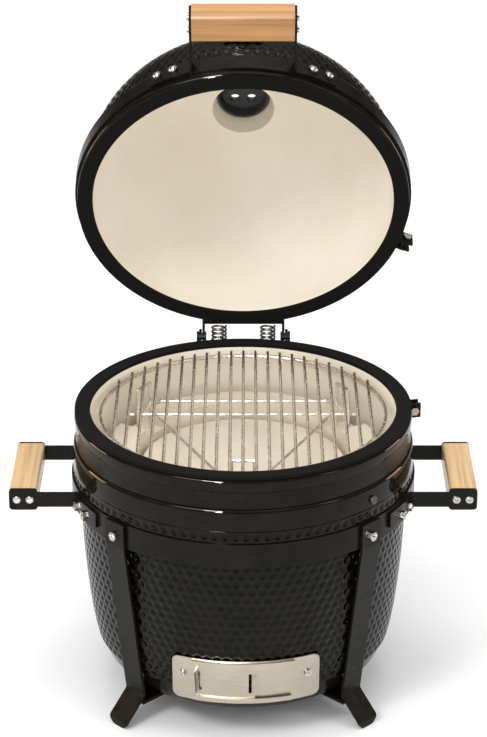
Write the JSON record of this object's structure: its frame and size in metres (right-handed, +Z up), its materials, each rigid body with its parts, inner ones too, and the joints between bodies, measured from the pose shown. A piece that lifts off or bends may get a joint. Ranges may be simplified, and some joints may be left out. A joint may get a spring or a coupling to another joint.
{
  "type": "kamado ceramic grill",
  "caption": "Egg-shaped ceramic charcoal grill with a hinged dimpled lid, bamboo side handles, four bent steel legs, a sliding draft door and lift-out grates.",
  "frame": {"origin": "on the floor, on the vertical axis of the ceramic body", "axes": "+Z up along the body's axis, -Y towards the front with the draft door, +X towards the right-hand side handle; the lid is stored open 67.7 degrees"},
  "size_m": [0.5108, 0.5282, 0.7607],
  "materials": {
    "ceramic": "glossy warm-black glaze on ceramic",
    "felt": "matt black felt",
    "black_steel": "semi-gloss black powder coat",
    "bright_steel": "bright nickel plate",
    "spring_steel": "oiled spring steel",
    "bamboo": "clear-lacquered laminated bamboo",
    "brushed_stainless": "brushed stainless",
    "grate_wire": "polished stainless wire",
    "fire_clay": "cream refractory clay, satin",
    "cast_iron": "matt seasoned cast iron",
    "plug_plastic": "dull dark plug",
    "dial_case": "satin stainless",
    "dial_face": "printed dial face",
    "needle_paint": "black painted needle"
  },
  "bodies": {
    "base": {"band_plug": "plug_plastic", "base_band": "black_steel", "base_clamp_bolt": "bright_steel", "base_gasket": "felt", "base_shell": "ceramic", "charcoal_grate": "cast_iron", "cross_bars": "black_steel", "draft_plate": "brushed_stainless", "draft_screws": "bright_steel", "firebox": "fire_clay", "grip_left": "bamboo", "grip_right": "bamboo", "grip_screws": "bright_steel", "handle_bolts": "bright_steel", "handle_left_front": "black_steel", "handle_left_rear": "black_steel", "handle_right_front": "black_steel", "handle_right_rear": "black_steel", "hinge_lower_bracket": "black_steel", "hinge_pins": "black_steel", "leg_bolts": "bright_steel", "leg_front_left": "black_steel", "leg_front_right": "black_steel", "leg_rear_left": "black_steel", "leg_rear_right": "black_steel", "spark_screen": "brushed_stainless", "spring_left": "spring_steel", "spring_right": "spring_steel", "stand_band": "black_steel"},
    "draft_slider": {"draft_slider": "brushed_stainless"},
    "vent_cap": {"vent_cap": "cast_iron"},
    "fire_ring": {"fire_ring": "fire_clay"},
    "deflector": {"deflector": "fire_clay"},
    "wire_rack": {"wire_rack": "grate_wire"},
    "cooking_grate": {"cooking_grate": "grate_wire"},
    "lid": {"lid_shell": "ceramic", "lid_gasket": "felt", "lid_band": "black_steel", "lid_clamp_bolt": "bright_steel", "lid_handle_left": "black_steel", "lid_handle_right": "black_steel", "lid_grip": "bamboo", "lid_handle_bolts": "bright_steel", "lid_grip_screws": "bright_steel", "hinge_upper_bracket": "black_steel", "vent_collar": "cast_iron", "thermometer_case": "dial_case", "thermometer_dial": "dial_face", "thermometer_needle": "needle_paint", "thermometer_nut": "dial_case"}
  },
  "joints": [
    {"name": "lid_hinge", "type": "hinge", "parent": "base", "child": "lid", "pos_m": [0, 0.2011, 0.3224], "axis": [-1, 0, 0], "range_deg": [-67.7, 15], "deforming": ["spring_left", "spring_right"]},
    {"name": "draft_slide", "type": "hinge", "parent": "base", "child": "draft_slider", "pos_m": [0, 0, 0.0745], "axis": [0, 0, 1], "range_deg": [0, 13]},
    {"name": "vent_turn", "type": "hinge", "parent": "lid", "child": "vent_cap", "pos_m": [0, 0.31446, 0.58625], "axis": [0, 0.9252, 0.3795], "range_deg": [0, 36]},
    {"name": "fire_ring_lift", "type": "slide", "parent": "base", "child": "fire_ring", "axis": [0, 0, 1], "range_m": [0, 0.12]},
    {"name": "deflector_lift", "type": "slide", "parent": "fire_ring", "child": "deflector", "axis": [0, 0, 1], "range_m": [0, 0.02]},
    {"name": "rack_lift", "type": "slide", "parent": "fire_ring", "child": "wire_rack", "axis": [0, 0, 1], "range_m": [0, 0.1]},
    {"name": "grate_lift", "type": "slide", "parent": "wire_rack", "child": "cooking_grate", "axis": [0, 0, 1], "range_m": [0, 0.1]}
  ]
}
